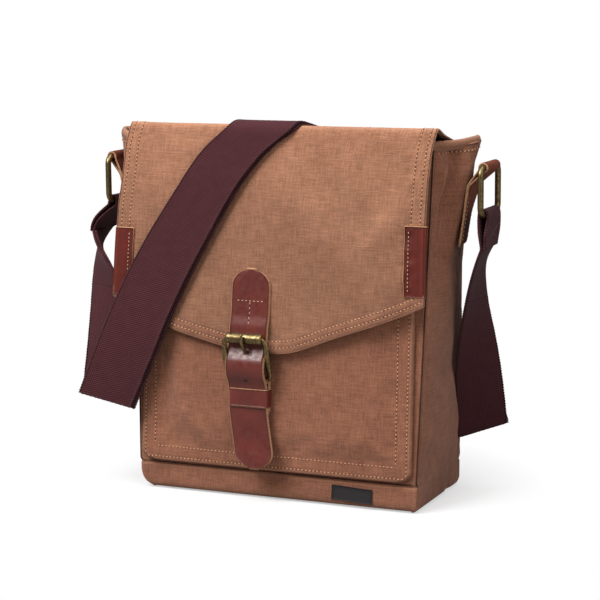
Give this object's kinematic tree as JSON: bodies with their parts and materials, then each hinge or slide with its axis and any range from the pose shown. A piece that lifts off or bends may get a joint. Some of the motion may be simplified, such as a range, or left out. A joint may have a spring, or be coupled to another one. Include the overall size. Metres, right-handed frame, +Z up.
{
  "type": "messenger bag",
  "caption": "Upright canvas messenger bag with a pointed buckled flap, front patch pocket, leather tabs and an adjustable webbing shoulder strap on swinging rings.",
  "frame": {"origin": "centre of the underside of the base, on the surface the bag stands on", "axes": "+Z up, the front with the pocket and buckle faces -Y, +X to the right seen from the front"},
  "size_m": [0.3268, 0.1243, 0.2828],
  "materials": {
    "canvas": "washed heavy cotton canvas, matte, with tan stitching",
    "lining_fabric": "plain dark cotton lining, matte",
    "leather": "smooth red-brown leather, semi-gloss, raw tan edges",
    "brass": "antique brass, worn bright on the edges",
    "webbing": "ribbed dark maroon cotton webbing, matte",
    "board": "stiffening board, matte",
    "label_fabric": "plain black woven label, matte"
  },
  "bodies": {
    "bag": {"base_panel": "canvas", "base_board": "board", "front_panel": "canvas", "back_panel": "canvas", "gusset_left": "canvas", "gusset_right": "canvas", "mouth_binding": "canvas", "lining": "lining_fabric", "front_pocket": "canvas", "side_label": "label_fabric", "buckle_chape": "leather", "strap_keeper": "leather", "ring_tab_left": "leather", "ring_tab_right": "leather", "strap_left_run": "webbing", "strap_right_run": "webbing", "strap_back_run": "webbing", "strap_back_inner": "webbing"},
    "flap_crown": {"flap_crown_canvas": "canvas", "flap_crown_lining": "lining_fabric", "strap_crown_run": "webbing"},
    "flap_front": {"flap_front_canvas": "canvas", "flap_front_lining": "lining_fabric", "flap_edge_welt": "canvas", "corner_tab_left": "leather", "corner_tab_right": "leather", "closure_strap": "leather", "strap_front_run": "webbing"},
    "buckle": {"buckle_frame": "brass"},
    "buckle_roller": {"buckle_roller": "brass"},
    "buckle_tongue": {"buckle_tongue": "brass"},
    "ring_left": {"ring_left": "brass", "strap_left_loop": "webbing"},
    "ring_right": {"ring_right": "brass", "strap_right_loop": "webbing"},
    "slider": {"strap_slider": "brass", "strap_end_loop": "webbing"}
  },
  "joints": [
    {"name": "flap_open", "type": "hinge", "parent": "bag", "child": "flap_crown", "pos_m": [0, 0.035, 0.2626], "axis": [-1, 0, 0], "range_deg": [0, 170], "deforming": ["closure_strap", "strap_crown_run"]},
    {"name": "flap_unfold", "type": "hinge", "parent": "flap_crown", "child": "flap_front", "pos_m": [0, -0.0389, 0.2774], "axis": [-1, 0, 0], "range_deg": [0, 125]},
    {"name": "buckle_swing", "type": "hinge", "parent": "bag", "child": "buckle", "pos_m": [-0.0155, -0.05622, 0.09158], "axis": [1, 0, 0], "range_deg": [0, 20]},
    {"name": "buckle_tongue_swing", "type": "hinge", "parent": "buckle", "child": "buckle_tongue", "pos_m": [-0.0155, -0.05622, 0.09158], "axis": [1, 0, 0], "range_deg": [0, 55]},
    {"name": "buckle_roller_spin", "type": "hinge", "parent": "buckle", "child": "buckle_roller", "pos_m": [-0.0155, -0.06491, 0.12349], "axis": [1, 0, 0], "continuous": true},
    {"name": "ring_left_swing", "type": "hinge", "parent": "bag", "child": "ring_left", "pos_m": [-0.15, 0, 0.249], "axis": [0, 1, 0], "range_deg": [-6, 70]},
    {"name": "ring_right_swing", "type": "hinge", "parent": "bag", "child": "ring_right", "pos_m": [0.15, 0, 0.249], "axis": [0, -1, 0], "range_deg": [-6, 70]},
    {"name": "slider_slide", "type": "slide", "parent": "bag", "child": "slider", "axis": [0.4297, 0.0572, -0.9012], "range_m": [-0.024, 0.03]}
  ],
  "couplings": [
    {"joint": "flap_unfold", "follows": "flap_open", "ratio": 0.72}
  ]
}
